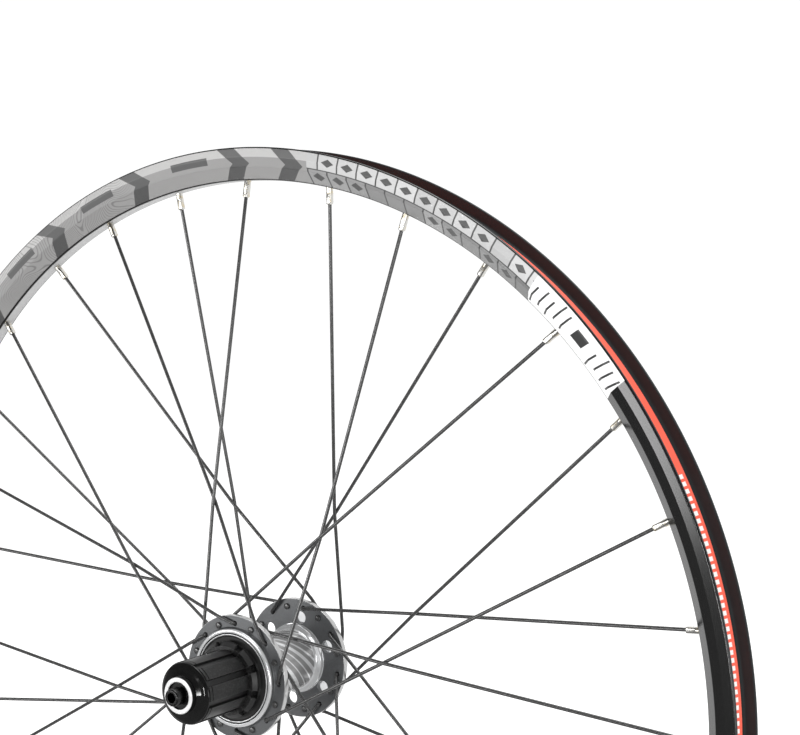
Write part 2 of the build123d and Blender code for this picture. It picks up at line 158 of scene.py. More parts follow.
# Driver body
driver_end = -60.6
land_r = 17.45
root_r = 16.05
land_half = 14.0
land_pitch = 40.0
land_turn = 88.0
spline_end = -28.2
collar_r = 19.5
tooth_r = 21.7
tooth_half = 14.5
tooth_bevel = 2.0
collar_y = -24.1
driver_neck_r = 18.5
driver_neck_y = -20.6
carrier_r = 16.8
carrier_end = -10.9
pocket_start = -19.85
pocket_end = -11.35
pocket_floor_r = 12.15
pocket_slope = 0.2023
pocket_seat_r = 2.05
pocket_out = 7.6
driver_lip_r = 15.0
driver_lip_depth = 0.8
driver_bore_r = 11.0
inner_bearing_y = -34.0
inner_bearing_end = -26.0
outer_bearing_end = -51.3

# Pawls and their leaf springs: corners of a leaf and the ends of its bend, out and up from a pivot
pawl_count = 3
pawl_pivot_r = 14.2
leaf_start = -18.1
leaf_end = -13.1
leaf_inner = ((2.17, -1.278), (6.449, -0.412), (4.532, 0.566))
leaf_outer = ((2.23, -1.572), (7.351, -0.536), (4.668, 0.834))
leaf_bend = ((6.847, -0.209), (6.529, 1.364))

# Caps, locknuts and axle. A cap has the place of its base, its radius and the place of its wall.
drive_cap = (60.9, 17.0, 61.7)
disc_cap = (55.5, 13.5, 56.3)
cap_shoulder_r = 13.0
cap_nose_r = 10.2
nut_face_y = 67.5
nut_back_y = 64.3
nut_r = 10.0
nut_recess_r = 7.5
nut_recess_y = 65.9
axle_end_y = 73.0
axle_end_r = 4.8
axle_thread_r = 5.0
axle_seat_r = 5.98
axle_seat_y = 61.7
axle_shoulder_r = 8.0
axle_bore_r = 2.75


def turned(radius, angle, y):
    """Points round the axle: (radius cos angle, y, radius sin angle)."""
    radius, angle, y = np.broadcast_arrays(radius, np.radians(angle), y)
    return np.stack([radius * np.cos(angle), y, radius * np.sin(angle)], -1)


def unit(vectors):
    """Vectors divided by their own length."""
    length = np.linalg.norm(vectors, axis=-1, keepdims=True)
    return vectors / np.maximum(length, 1e-9)


def rounded(corners, radius, steps=6, closed=False):
    """A line through corners whose bends are arcs.

    With the runs a and b before and after a bend, u along b - a and w along a + b, the arc is
    centre + radius (w sin t - u cos t), where t goes from minus to plus half the bend's angle.
    An arc takes at most 48 hundredths of the shorter run.
    """
    corners = np.asarray(corners, float)
    bends = corners if closed else corners[1:-1]
    before = np.roll(corners, 1, 0) if closed else corners[:-2]
    after = np.roll(corners, -1, 0) if closed else corners[2:]
    a, b = unit(bends - before), unit(after - bends)
    half = np.maximum(np.arccos(np.clip((a * b).sum(-1), -1, 1)) / 2, 1e-4)
    room = np.linalg.norm([bends - before, after - bends], axis=-1).min(0)
    reach = np.minimum(radius * np.tan(half), 0.48 * room)
    bend_r = reach / np.tan(half)
    u, w = unit(b - a), unit(a + b)
    t = np.linspace(-1, 1, steps)[None, :, None] * half[:, None, None]
    centre = bends + u * (bend_r / np.cos(half))[:, None]
    way = w[:, None] * np.sin(t) - u[:, None] * np.cos(t)
    arcs = centre[:, None] + bend_r[:, None, None] * way
    line = arcs.reshape(-1, corners.shape[1])
    return line if closed else np.concatenate([corners[:1], line, corners[-1:]])


def lathe(profile, segments):
    """A closed profile of radius and y carried round the axle.

    Each long straight run gets two more points, a tenth from its ends, so that it shades flat.
    """
    run = np.roll(profile, -1, 0) - profile
    points = profile[:, None] + run[:, None] * np.array([0.0, 0.1, 0.9])[:, None]
    long_run = 0.8
    long = np.linalg.norm(run, axis=1) > long_run
    profile = points[np.stack([np.ones_like(long), long, long], 1)]
    angle = np.arange(segments) * 360 / segments
    return turned(profile[None, :, 0], angle[:, None], profile[None, :, 1])


def wire(path, radius, sides, flat):
    """A round section carried along a path: path + radius (n cos t + m sin t).

    n is square to the path in the plane whose normal is flat, and m is square to both.
    """
    run = unit(np.gradient(path, axis=0))
    n = unit(np.cross(run, flat))
    m = np.cross(run, n)
    t = np.linspace(0, 2 * np.pi, sides, endpoint=False)[None, :, None]
    return path[:, None] + radius[:, None, None] * (n[:, None] * np.cos(t) + m[:, None] * np.sin(t))


def cells(rows, columns, wrap_rows, wrap_columns):
    """Corner numbers of a grid's cells, point (i, j) being number i columns + j."""
    i = np.arange(rows if wrap_rows else rows - 1)[:, None]
    j = np.arange(columns if wrap_columns else columns - 1)[None, :]
    below, right = (i + 1) % rows, (j + 1) % columns
    corners = [i * columns + j, i * columns + right, below * columns + right, below * columns + j]
    return np.stack(np.broadcast_arrays(*corners), -1).reshape(-1, 4)


def joined_mesh(name, *grids):
    """A mesh from grids of points in millimetres. Points that meet are joined, and faces look out.

    A grid is (points, wrap_rows, wrap_columns). Points before the last three axes are copies.
    """
    points, faces, count = [], [], 0
    for grid, wrap_rows, wrap_columns in grids:
        rows, columns = grid.shape[-3:-1]
        copies = grid.reshape(-1, rows * columns, 3)
        start = count + np.arange(len(copies))[:, None, None] * rows * columns
        faces.append((cells(rows, columns, wrap_rows, wrap_columns)[None] + start).reshape(-1, 4))
        points.append(copies.reshape(-1, 3))
        count += len(points[-1])
    mesh = bpy.data.meshes.new(name)
    places = np.concatenate(points) * MILLIMETRE
    mesh.from_pydata(places.tolist(), [], np.concatenate(faces).tolist())
    joined = bmesh.new()
    joined.from_mesh(mesh)
    bmesh.ops.remove_doubles(joined, verts=joined.verts, dist=2e-6)
    bmesh.ops.dissolve_degenerate(joined, edges=joined.edges, dist=1e-7)
    bmesh.ops.recalc_face_normals(joined, faces=joined.faces)
    joined.to_mesh(mesh)
    joined.free()
    return mesh


def piece(name, body, finish, slot, stands_for, *grids):
    """One piece of the object, made of grids, that moves with a body and stands for a CAD node.

    Without a body it is left free.
    """
    mesh = joined_mesh(name, *grids)
    mesh.shade_smooth()
    mesh.set_sharp_from_angle(angle=radians(SHARP_ANGLE))
    mesh.materials.append(finish)
    made = bpy.data.objects.new(name, mesh)
    bpy.context.scene.collection.objects.link(made)
    if body:
        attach(made, body)
    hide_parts(stands_for)
    return made


def drill(made, angle, hole_d, depth_r):
    """Bores a round hole through a piece along the radius at an angle."""
    bit_half, sides = 12.0, 48
    path = turned(np.array([depth_r - bit_half, depth_r + bit_half]), angle, 0.0)
    walls = wire(path, np.full(2, hole_d / 2), sides, UP_Y)
    ends = path[:, None].repeat(sides, 1)
    bit = joined_mesh("bit", (np.concatenate([ends[:1], walls, ends[1:]]), False, True))
    cutter = bpy.data.objects.new("bit", bit)
    bpy.context.scene.collection.objects.link(cutter)
    cut = made.modifiers.new("bore", "BOOLEAN")
    cut.object, cut.operation, cut.solver = cutter, "DIFFERENCE", "EXACT"
    graph = bpy.context.evaluated_depsgraph_get()
    bored = bpy.data.meshes.new_from_object(made.evaluated_get(graph))
    made.modifiers.clear()
    made.data = bored
    bored.name = made.name
    bpy.data.objects.remove(cutter)


def pierced(
    inner, outer, edges, hole_circle_r, hole_angles, hole_d, low_y, high_y, along=6, across=4
):
    """A flat ring cut into one sector for each round hole, with the walls of the holes.

    Each line of a sector runs from a point of its border, on the face at high_y, straight to the
    hole's chamfered edge, through the hole and back to the border on the face at low_y. Points at
    12 and 88 hundredths of each straight part keep the faces' shading flat.
    """
    share = np.linspace(0, 1, along, endpoint=False)
    rise = np.linspace(0, 1, across, endpoint=False)
    start, end = edges[:, None], edges[:, None] + np.diff(edges, append=edges[0] + 360)[:, None]
    forth, back = start + (end - start) * share, end + (start - end) * share
    radius = np.concatenate([
        outer(forth), outer(end) + (inner(end) - outer(end)) * rise,
        inner(back), inner(start) + (outer(start) - inner(start)) * rise,
    ], 1)
    angle = np.concatenate([forth, end + 0 * rise, back, start + 0 * rise], 1)
    border = turned(radius, angle, 0.0)
    centre = turned(hole_circle_r, hole_angles, 0.0)[:, None]
    way = unit(border - centre)
    soft = 0.25
    hole = hole_d / 2
    mouth = centre + way * (hole + soft)
    face = [border, border + (mouth - border) * 0.12, border + (mouth - border) * 0.88, mouth]
    wall = centre + way * hole
    top = [line + UP_Y * high_y for line in face]
    walls = [wall + UP_Y * (high_y - soft), wall + UP_Y * (low_y + soft)]
    bottom = [line + UP_Y * low_y for line in face[::-1]]
    return np.stack(top + walls + bottom, 2)


class Socket:
    """An output in a material's nodes. Sums and products of outputs add Math nodes."""

    def __init__(self, tree, output):
        self.tree, self.output = tree, output

    def node(self, kind, inputs, output=0, **settings):
        """A new node: its settings first, then the values or links of its sockets."""
        made = self.tree.nodes.new("ShaderNode" + kind)
        for name, value in settings.items():
            setattr(made, name, value)
        for key, value in inputs.items():
            if isinstance(value, Socket):
                self.tree.links.new(value.output, made.inputs[key])
            else:
                made.inputs[key].default_value = value
        return Socket(self.tree, made.outputs[output])

    def math(self, operation, *others):
        """A Math node of this output and others."""
        return self.node("Math", dict(enumerate((self, *others))), operation=operation)

    def __add__(self, other):
        return self.math("ADD", other)

    def __radd__(self, other):
        return self.math("ADD", other)

    def __sub__(self, other):
        return self.math("SUBTRACT", other)

    def __rsub__(self, other):
        return self.node("Math", {0: other, 1: self}, operation="SUBTRACT")

    def __mul__(self, other):
        return self.math("MULTIPLY", other)

    def __rmul__(self, other):
        return self.math("MULTIPLY", other)

    def __truediv__(self, other):
        return self.math("DIVIDE", other)

    def __abs__(self):
        return self.math("ABSOLUTE")

    def middle(self):
        """Distance of the fraction from a half: 0 midway between whole numbers, 0.5 at each."""
        return abs(self.math("FRACT") - 0.5)

    def chance(self):
        """A random value between 0 and 1 that belongs to this number."""
        return self.node("TexWhiteNoise", {"W": self}, noise_dimensions="1D")

    def step(self, low, high):
        """0 below low, 1 above high and a smooth rise between; falls where low is above high."""
        limits = {0: self, 1: low, 2: high, 3: 0.0, 4: 1.0}
        return self.node("MapRange", limits, interpolation_type="SMOOTHSTEP")

    def within(self, low, high, soft):
        """1 between low and high, fading over soft."""
        return self.step(low - soft, low + soft) * self.step(high + soft, high - soft)

    def blend(self, first, second):
        """The first colour where this value is 0 and the second where it is 1.

        A Mix node has its colours in sockets 6 and 7 and their mix in output 2.
        """
        return self.node("Mix", {0: self, 6: first, 7: second}, output=2, data_type="RGBA")


def grey(value, warmth=0.0):
    """A near-grey colour, warmer or cooler by a share."""
    return (value * (1 + warmth), value, value * (1 - warmth), 1.0)


class Finish:
    """A material of one shader, with the surface point in millimetres and round the axle."""

    def __init__(self, name, **constants):
        self.material = bpy.data.materials.new(name)
        self.material.use_nodes = True
        tree = self.material.node_tree
        self.shader = tree.nodes["Principled BSDF"]
        coordinates = Socket(tree, tree.nodes.new("ShaderNodeTexCoord").outputs["Object"])
        factors = {0: coordinates, 1: (1 / MILLIMETRE,) * 3}
        self.point = coordinates.node("VectorMath", factors, operation="MULTIPLY")
        split = self.point.node("SeparateXYZ", {0: self.point})
        self.x, self.y, self.z = (Socket(tree, output) for output in split.output.node.outputs)
        self.radius = (self.x * self.x + self.z * self.z).math("SQRT")
        self.angle = self.z.math("ARCTAN2", self.x) * (180 / np.pi)
        self.set(**constants)

    def set(self, **sockets):
        """Sets or links the shader's sockets, named with _ for a space."""
        for key, value in sockets.items():
            socket = self.shader.inputs[key.replace("_", " ")]
            if isinstance(value, Socket):
                value.tree.links.new(value.output, socket)
            else:
                socket.default_value = value

    def noise(self, scale, detail=3.0, stretch=(1.0, 1.0, 1.0)):
        """Soft noise round 0.5 whose grains are about 1 / scale millimetres."""
        place = self.point.node("VectorMath", {0: self.point, 1: stretch}, operation="MULTIPLY")
        return place.node("TexNoise", {"Vector": place, "Scale": scale, "Detail": detail})

    @staticmethod
    def bump(height, distance, strength=1.0):
        """Relief of a height map, distance in millimetres."""
        relief = {"Height": height, "Distance": distance * MILLIMETRE, "Strength": strength}
        return height.node("Bump", relief)


def printed_rim():
    """Black anodised alloy with a printed field of greys on both sides, twice round the wheel, and
    painted light on the field's outer facet.

    Counted in degrees along the rim, a white block with thin dark strokes and one dark patch comes
    first, then two courses of grey tiles with diamonds, then a grey field with faint contour lines,
    chevrons, slanted bars and blocks.
    """
    f = Finish("printed_black_rim", Specular_IOR_Level=0.55)
    half_turns = f.angle / 180.0
    turn = (half_turns * f.y.math("SIGN") * -1.0).math("FRACT") * 180.0
    bed_turn = half_turns.math("FRACT") * 180.0
    height = f.radius - well_r
    lower = (f.radius - bed_r) * ((knee_half - bed_half) / (knee_r - bed_r)) + bed_half
    upper = (f.radius - knee_r) * ((half_width - knee_half) / (facet_r - knee_r)) + knee_half
    outline = lower.math("MINIMUM", upper.math("MINIMUM", half_width))
    outside = (abs(f.y) - outline).step(-0.9, -0.5)
    on_side = outside * f.radius.within(bed_r + 0.7, lip_r - 0.8, 0.15)
    on_bed = f.radius.step(bed_r + 0.35, bed_r + 0.2)
    on_bed = on_bed * abs(f.y).step(bed_half - 0.5, bed_half - 0.8)
    on_bed = on_bed * bed_turn.within(tiles_start, field_end, 0.04)
    inner_wall = (1.0 - outside) * f.radius.step(well_r, well_r + 0.5)

    contour = (f.noise(0.02, detail=1.0) * 96.0).middle().step(0.30, 0.44)
    contour = contour * f.noise(0.011, detail=0.0).step(0.4, 0.5)
    contour = contour * turn.step(contours_start - 4.0, contours_start)
    cell = turn / shape_pitch
    across = (cell.math("FRACT") - 0.5) * shape_pitch
    chance = cell.math("FLOOR").chance()
    chevron = abs(across - abs(height) * 0.24).step(1.22, 1.16) * chance.step(0.51, 0.5)
    bar = abs(across + height * 0.14).step(1.06, 1.0) * height.step(-1.7, -1.5)
    bar = bar * chance.within(0.5, 0.78, 0.005)
    block = abs(across).step(2.7, 2.64) * height.within(0.4, 4.6, 0.06) * chance.step(0.78, 0.79)
    shapes = chevron + bar + block

    course = height.step(-0.25, -0.2)
    brick = (turn + course * (tile_pitch / 2)) / tile_pitch
    joint = brick.middle().step(0.455, 0.47) + abs(height + 0.22).step(0.34, 0.26)
    tile = (brick.math("FLOOR") + course * 57.0).chance()
    diamond = (brick.middle() * 7.0 + abs(height - course * 8.2 + 4.0)).step(2.3, 2.1)
    diamond = diamond * tile.step(0.3, 0.301)

    lean = turn + height * 0.05
    dash = lean / stroke_pitch
    shift = dash.math("FLOOR").chance() * 5.0 - 2.5
    from_patch = abs(lean - patch_middle)
    stroke = dash.middle().step(0.12, 0.09) * abs(height - shift).step(5.6, 5.4)
    stroke = stroke * from_patch.step(1.66, 1.68)
    patch = from_patch.step(0.9, 0.86) * height.within(-1.6, 4.4, 0.06)

    grain = f.noise(1.4, detail=2.0)
    # Painted light: the field's grey is painted lighter on the outer facet and darker on the facets
    # below it, as they are lit.
    lit_outer_band = f.radius.step(facet_r - 0.1, facet_r + 0.1)
    paint = lit_outer_band.blend(grey(0.21, 0.01), grey(0.36, 0.01))
    paint = (contour * 0.45).math("MAXIMUM", shapes * 0.84).blend(paint, grey(0.03, -0.02))
    tiles = (course * 0.6 + tile * 0.4).blend(grey(0.14), grey(0.46))
    tiles = (joint + diamond).blend(tiles, grey(0.05))
    white = (stroke + patch).blend(grey(0.74), grey(0.02))
    paint = turn.step(field_start, field_start - 0.08).blend(paint, tiles)
    paint = turn.step(tiles_start, tiles_start - 0.08).blend(paint, white)
    field = turn.within(strokes_start, field_end, 0.04) * on_side
    black = on_bed.blend(grey(0.006), grey(0.36))
    black = inner_wall.blend(black, (0.009, 0.015, 0.017, 1))
    f.set(Base_Color=field.blend(black, paint))
    f.set(Roughness=0.13 + 0.04 * grain + (field + on_bed) * 0.24 + inner_wall * 0.5)
    f.set(Normal=f.bump(field * (1.0 + 0.3 * grain), 0.02, 0.2))
    return f.material


def red_tape():
    """Red plastic tape with a faint weave and a soft sheen.

    Rows of plain white dashes fill half of each quarter turn.
    """
    f = Finish("red_rim_tape", Specular_IOR_Level=0.4)
    along = f.angle * (np.pi / 180 * well_r)
    weave = (along * 2.4).math("SINE") * (f.y * 4.5).math("SINE")
    cloud = f.noise(0.05)
    red = cloud.blend((0.88, 0.10, 0.055, 1), (0.97, 0.17, 0.11, 1))
    quarter = f.angle / 90.0 + tape_dash_shift
    row = abs(f.y).within(tape_row_in, tape_row_out, 0.1)
    row = quarter.math("FRACT").step(0.5, 0.499) * row
    dash = (quarter * tape_dashes).middle().step(0.31, 0.28) * row
    f.set(Base_Color=dash.blend(red, grey(0.9, 0.02)), Roughness=0.42 + 0.15 * cloud)
    f.set(Normal=f.bump(weave * 0.5 + cloud, 0.05, 0.3))
    return f.material


def black_wire():
    """Drawn wire with a black coat, with slight wear and streaks along its run."""
    f = Finish("black_spoke_wire", Metallic=0.6)
    streak = f.noise(0.35, detail=4.0)
    f.set(Base_Color=streak.blend(grey(0.05), grey(0.11)), Roughness=0.18 + 0.16 * streak)
    f.set(Normal=f.bump(streak, 0.02, 0.2))
    return f.material


def plated_brass():
    """Nickel-plated brass whose plating thins out to a warm tint."""
    f = Finish("plated_nipple", Metallic=1.0)
    thin = f.noise(0.5)
    f.set(Base_Color=thin.step(0.45, 0.7).blend((0.70, 0.69, 0.66, 1), (0.70, 0.62, 0.46, 1)))
    f.set(Roughness=0.18 + 0.2 * thin, Normal=f.bump(thin, 0.03, 0.25))
    return f.material


def shell_alloy():
    """Turned alloy: satin flanges, rims painted lighter as a painted highlight, a polished mouth
    whose groove is painted black as painted shade, and a slant-lined barrel.
    """
    f = Finish("turned_shell_alloy")
    rings = (f.radius * 14.0).math("SINE")
    grain = f.noise(1.1, detail=4.0)
    drive_plate = f.radius.step(mouth_lip_r - 0.5, mouth_lip_r - 0.2)
    drive_plate = drive_plate * f.y.within(mouth_y + 1.5, neck_y - 0.5, 0.3)
    disc_plate = f.radius.step(ring_r + 0.1, ring_r + 0.4)
    disc_plate = disc_plate * f.y.within(disc_in - 0.5, disc_out + 0.5, 0.1)
    # Painted highlight: the rounded rim of each flange is painted a lighter grey.
    edge = f.radius.step(flange_r - 0.35, flange_r - 0.1)
    satin = (drive_plate + disc_plate) * (1.0 - edge)
    barrel = f.y.within(barrel_start + 1.0, barrel_end - 1.5, 0.4)
    barrel = barrel * f.radius.step(barrel_r + 1.2, barrel_r + 0.6)
    slant = f.angle / 20.0 + f.y * 0.16
    etched = barrel * (slant.middle() + slant.math("FLOOR").chance() * 0.2).step(0.28, 0.24)
    # Painted shade: the groove in the mouth's face is painted near black.
    groove = f.radius.within(mouth_r + 0.7, mouth_r + 1.4, 0.1)
    groove = groove * f.y.step(mouth_y + 0.6, mouth_y + 0.5)
    colour = satin.blend(grey(0.80, -0.01), grain.blend(grey(0.09, -0.03), grey(0.13, -0.03)))
    colour = (barrel - etched).blend(edge.blend(colour, grey(0.5)), grey(0.34))
    f.set(Base_Color=groove.blend(colour, grey(0.02)), Metallic=0.62 - satin * 0.1)
    f.set(Roughness=0.15 + satin * (0.12 + 0.06 * grain) + barrel * 0.1)
    f.set(Normal=f.bump(satin * (grain * 0.2 + rings * 0.1) - etched, 0.01, 0.3))
    return f.material


def black_alloy():
    """Satin black anodised alloy with fine turning rings and wear on the land tops, and painted
    highlights on the land edges and the collar's bevels.
    """
    f = Finish("satin_black_alloy", Metallic=0.35)
    grain = f.noise(0.9, detail=4.0)
    turns = (f.y * 9.0).math("SINE")
    # Painted highlights: the collar's bevels and the edges of the lands are painted lighter; the
    # random patches on the land tops are wear.
    bevel_highlight = f.radius.step(collar_r + 0.2, collar_r + 0.4)
    bevel_highlight = bevel_highlight * f.y.step(spline_end + 2.4, spline_end + 2.0)
    land_place = ((f.angle - land_turn) / land_pitch + 0.5).middle() * land_pitch
    land_edge_highlight = abs(land_place - land_half).step(1.6, 0.6)
    land_top = f.radius.step(land_r - 0.25, land_r) * f.y.step(spline_end + 0.2, spline_end)
    wear_and_highlights = land_top * (grain.step(0.42, 0.75) + land_edge_highlight * 2.0) + bevel_highlight * 2.0
    f.set(Base_Color=wear_and_highlights.blend(grey(0.010), grey(0.030)), Roughness=0.26 + 0.16 * grain)
    f.set(Normal=f.bump(turns * 0.15 + grain * 0.4, 0.02, 0.25))
    return f.material


def gloss_black():
    """Polished black cap with faint haze."""
    f = Finish("gloss_black_cap", Specular_IOR_Level=0.4)
    haze = f.noise(0.4)
    f.set(Base_Color=haze.blend(grey(0.003), grey(0.007)), Roughness=0.05 + 0.05 * haze)
    f.set(Normal=f.bump(haze, 0.01, 0.1))
    return f.material


def plated_nut():
    """Bright plated face ring, finely ringed by the tool; the recess and the other walls are near
    black.
    """
    f = Finish("plated_locknut", Metallic=0.5)
    rings = (f.radius * 12.0).math("SINE")
    cloud = f.noise(0.6, detail=4.0)
    bright = f.radius.step(nut_recess_r - 0.2, nut_recess_r)
    bright = bright * abs(f.y).step(nut_face_y - 0.4, nut_face_y - 0.2)
    f.set(Base_Color=bright.blend(grey(0.008), grey(0.70)), Roughness=0.32 + 0.14 * cloud)
    f.set(Normal=f.bump(rings * 0.3 + cloud * 0.3, 0.02, 0.3))
    return f.material


def turned_steel(name, tone, rough, spread):
    """Turned steel: rings left by the tool on its faces and round its walls."""
    f = Finish(name, Metallic=1.0)
    rings = (f.radius * 12.0).math("SINE")
    turns = (f.y * 8.0).math("SINE")
    cloud = f.noise(0.6, detail=4.0)
    f.set(Base_Color=cloud.blend(grey(tone * 0.86), grey(tone)), Roughness=rough + spread * cloud)
    f.set(Normal=f.bump((rings + turns + cloud) * 0.3, 0.02, 0.3))
    return f.material


def black_rubber():
    """Moulded seal rubber, dull with a fine grain."""
    f = Finish("black_seal_rubber")
    grain = f.noise(2.2)
    f.set(Base_Color=grain.blend(grey(0.008), grey(0.018)), Roughness=0.5 + 0.2 * grain)
    f.set(Normal=f.bump(grain, 0.04, 0.4))
    return f.material


# Rim and tape: one section each, carried round the axle and bored for the valve
rim_segments = 720
half_section = np.array([
    (bed_r, bed_half), (knee_r, knee_half), (facet_r, half_width), (lip_r, half_width),
    (lip_r, half_width - lip_thickness), (seat_r, half_width - lip_thickness), (well_r, well_half),
])
rim_section = np.concatenate([half_section, half_section[::-1] * (1, -1)])
rim_bends = np.array([1.6, 1.2, 1.2, 0.8, 0.6, 1.4, 1.2])
rim_bends = np.concatenate([rim_bends, rim_bends[::-1]])
rim_grid = lathe(rounded(rim_section, rim_bends, steps=5, closed=True), rim_segments)
rim = piece("rim_skin", "wheel", printed_rim(), "rim_alloy", "rim", (rim_grid, True, True))
drill(rim, valve_angle, valve_hole_d, (bed_r + well_r) / 2)

seat_slope = (seat_r - well_r) / (half_width - lip_thickness - well_half)
tape_edge_r = well_r + seat_slope * (tape_half - well_half)
tape_half_section = np.array([
    (well_r, well_half), (tape_edge_r, tape_half), (tape_edge_r + tape_thickness, tape_half),
    (well_r + tape_thickness, well_half - tape_thickness / 2),
])
tape_section = np.concatenate([tape_half_section, tape_half_section[::-1] * (1, -1)])
tape_bends = np.array([1.0, 0.15, 0.3, 1.6])
tape_bends = np.concatenate([tape_bends, tape_bends[::-1]])
tape_grid = lathe(rounded(tape_section, tape_bends, steps=5, closed=True), rim_segments)
tape = piece("tape_strip", "wheel", red_tape(), "red_tape", "rim_tape", (tape_grid, True, True))
drill(tape, valve_angle, tape_hole_d, well_r)


# Spokes and nipples
def spoke_route(flange_y, outward, lie, hole_angle):
    """Corners of one spoke from its head to its thread, where it enters the rim, and its run there.

    The wire leaves the flange's hole, turns along the flange, passes over or under its third
    crossing, which lies midway between the two holes and the two seats, and ends in its nipple.
    """
    away = outward * lie
    wire_y = flange_y + away * (flange_half + wire_gap + spoke_d / 2)
    head = turned(hole_r, hole_angle, flange_y - away * flange_half)
    corner = turned(hole_r, hole_angle, wire_y)
    seat_angle = hole_angle + lie * lacing_angle
    seat = turned(bed_r, seat_angle, outward * nipple_offset)
    last = lacing_angle - pitch / 2
    cross_r = (hole_r * bed_r * np.sin(radians(lacing_angle))
               / (bed_r * np.sin(radians(pitch / 2)) + hole_r * np.sin(radians(last))))
    flat_hole, flat_seat = turned(hole_r, hole_angle, 0.0), turned(bed_r, seat_angle, 0.0)
    flat_cross = turned(cross_r, hole_angle + lie * last, 0.0)
    share = np.linalg.norm(flat_cross - flat_hole) / np.linalg.norm(flat_seat - flat_hole)
    cross_y = flange_y + share * (seat[1] - flange_y) - away * (spoke_d + wire_gap) / 2
    cross = turned(cross_r, hole_angle + lie * last, cross_y)
    along = unit(flat_seat - flat_hole)
    route = [head, corner]
    if lie > 0:
        radial = along @ flat_hole
        clear_r = flange_r + spoke_d / 2
        route.append(corner + along * (np.sqrt(radial ** 2 + clear_r ** 2 - hole_r ** 2) - radial))
    run = unit(seat - cross)
    route += [cross, seat + run * bed_thickness]
    return np.array(route), seat, run


def spoke_grid(route, run):
    """One spoke: a domed head on the flange, round wire along the route, closed at the ends."""
    line = rounded(route, np.array([elbow_r] + [weave_r] * (len(route) - 3)), steps=9)
    crown = unit(route[1] - route[0])
    rise = np.array([-1.09, -1.0, -0.92, -0.62, -0.2, 0.09, 0.5]) * head_height
    head_r = np.array([0.0, 0.30, 0.42, 0.5, 0.47, 0.36, 0.264]) * head_d
    path = np.concatenate([route[0] + crown * rise[:, None], line[1:], line[-1:] + run * 0.1])
    radius = np.concatenate([head_r, np.full(len(line) - 1, spoke_d / 2), [0.0]])
    flat = np.cross(unit(route[-1] - route[1]), UP_Y)
    return wire(path, radius, sides=14, flat=flat)


def nipple_grid(seat, run):
    """One nipple: a round neck under the rim, a square part for the key and a bevelled mouth.

    The section is a superellipse whose power rises from 2, round, to 7, square.
    """
    stations = np.array([
        # distance from the spoke bed, half width, power
        (2.2, 0.0, 2.0), (2.2, 1.95, 2.0), (-3.0, 1.95, 2.0), (-3.5, 1.9, 2.2),
        (-4.1, 1.66, 6.0), (-8.6, 1.64, 7.0), (-9.1, 1.62, 4.0), (-9.5, 1.42, 2.0),
        (-9.5, 1.06, 2.0), (-8.7, 1.0, 2.0), (-8.7, 0.0, 2.0),
    ])
    t = np.linspace(0, 2 * np.pi, 28, endpoint=False)
    power = stations[:, 2:]
    reach = (np.abs(np.cos(t)) ** power + np.abs(np.sin(t)) ** power) ** (-1 / power)
    reach = np.minimum(stations[:, 1:2] * reach, nipple_d / 2)
    across = unit(np.cross(run, UP_Y))
    up = np.cross(across, run)
    ring = np.cos(t)[None, :, None] * across + np.sin(t)[None, :, None] * up
    return (seat + run * stations[:, :1])[:, None] + reach[..., None] * ring


wire_finish = black_wire()
nipple_finish = plated_brass()
for side, flange_y, outward, phase in (
    ("drive", drive_y, -1, lacing_turn), ("disc", disc_y, 1, lacing_turn + pitch / 2),
):
    nipples = []
    for lie_name, lie, first in (("outer", 1, 0), ("inner", -1, 1)):
        for i in range(8):
            route, seat, run = spoke_route(flange_y, outward, lie, phase + (2 * i + first) * pitch)
            name = f"spoke_{side}_{lie_name}_{i + 1}"
            piece(name + "_wire", "wheel", wire_finish, "black_spoke", name,
                  (spoke_grid(route, run), False, True))
            nipples.append(nipple_grid(seat, run))
    piece(f"nipple_set_{side}", "wheel", nipple_finish, "nipple_brass", f"nipples_{side}",
          (np.array(nipples), False, True))


# Hub shell: a turned body, two drilled flanges and the bolted plate of the brake disc
fillet = 0.8
groove = np.array([(0.6, 0.0), (0.75, 0.4), (1.35, 0.4), (1.5, 0.0)]) + (mouth_r, mouth_y)
shell_corners = np.array([
    (ratchet_bore_r, ratchet_start), (mouth_r, ratchet_start), (mouth_r, mouth_y), *groove,
    (mouth_lip_r, mouth_y), (mouth_lip_r, drive_out - fillet), (mouth_lip_r + fillet, drive_out),
    (mouth_lip_r + fillet, drive_y), (neck_r + fillet, drive_y), (neck_r + fillet, drive_in),
    (neck_r, drive_in + fillet), (neck_r, neck_y), (barrel_r, barrel_start),
    (barrel_r, barrel_end), (ring_r, barrel_end + 1.0), (ring_r, disc_y),
    (spigot_r, disc_y), (spigot_r, spigot_y), (bearing_r, spigot_y), (bearing_r, disc_bearing_y),
    (sleeve_r, disc_bearing_y), (sleeve_r, drive_bearing_end), (bearing_r, drive_bearing_end),
    (bearing_r, ratchet_end), (ratchet_bore_r, ratchet_end),
])
shell_bends = np.array([
    0.2, 0.2, 0.25, 0.1, 0.1, 0.1, 0.15, 1.9, 0.9, 0.1, 0.1, 0.1, 0.1, 0.9, 2.0, 3.0, 1.2, 0.5,
    0.2, 0.2, 0.5, 0.4, 0.2, 0.2, 0.2, 0.2, 0.2, 0.2,
])
shell_line = rounded(shell_corners, shell_bends, steps=6, closed=True)


def flange_walls(radius_in, angles, low_y, high_y):
    """The rounded outer wall of a flange and the plain wall inside it, round the axle."""
    inset = flange_r - flange_edge
    corners = [(inset, high_y), (flange_r, high_y), (flange_r, low_y), (inset, low_y)]
    wall = rounded(corners, flange_edge * 0.98)
    outer = turned(wall[None, :, 0], angles[:, None], wall[None, :, 1])
    inner = turned(radius_in, angles[:, None], np.array([[low_y, high_y]]))
    return [(outer, True, False), (inner, True, False)]


def level(radius):
    """A ring's border at the same radius all round."""
    return lambda angle: np.full_like(angle, radius)


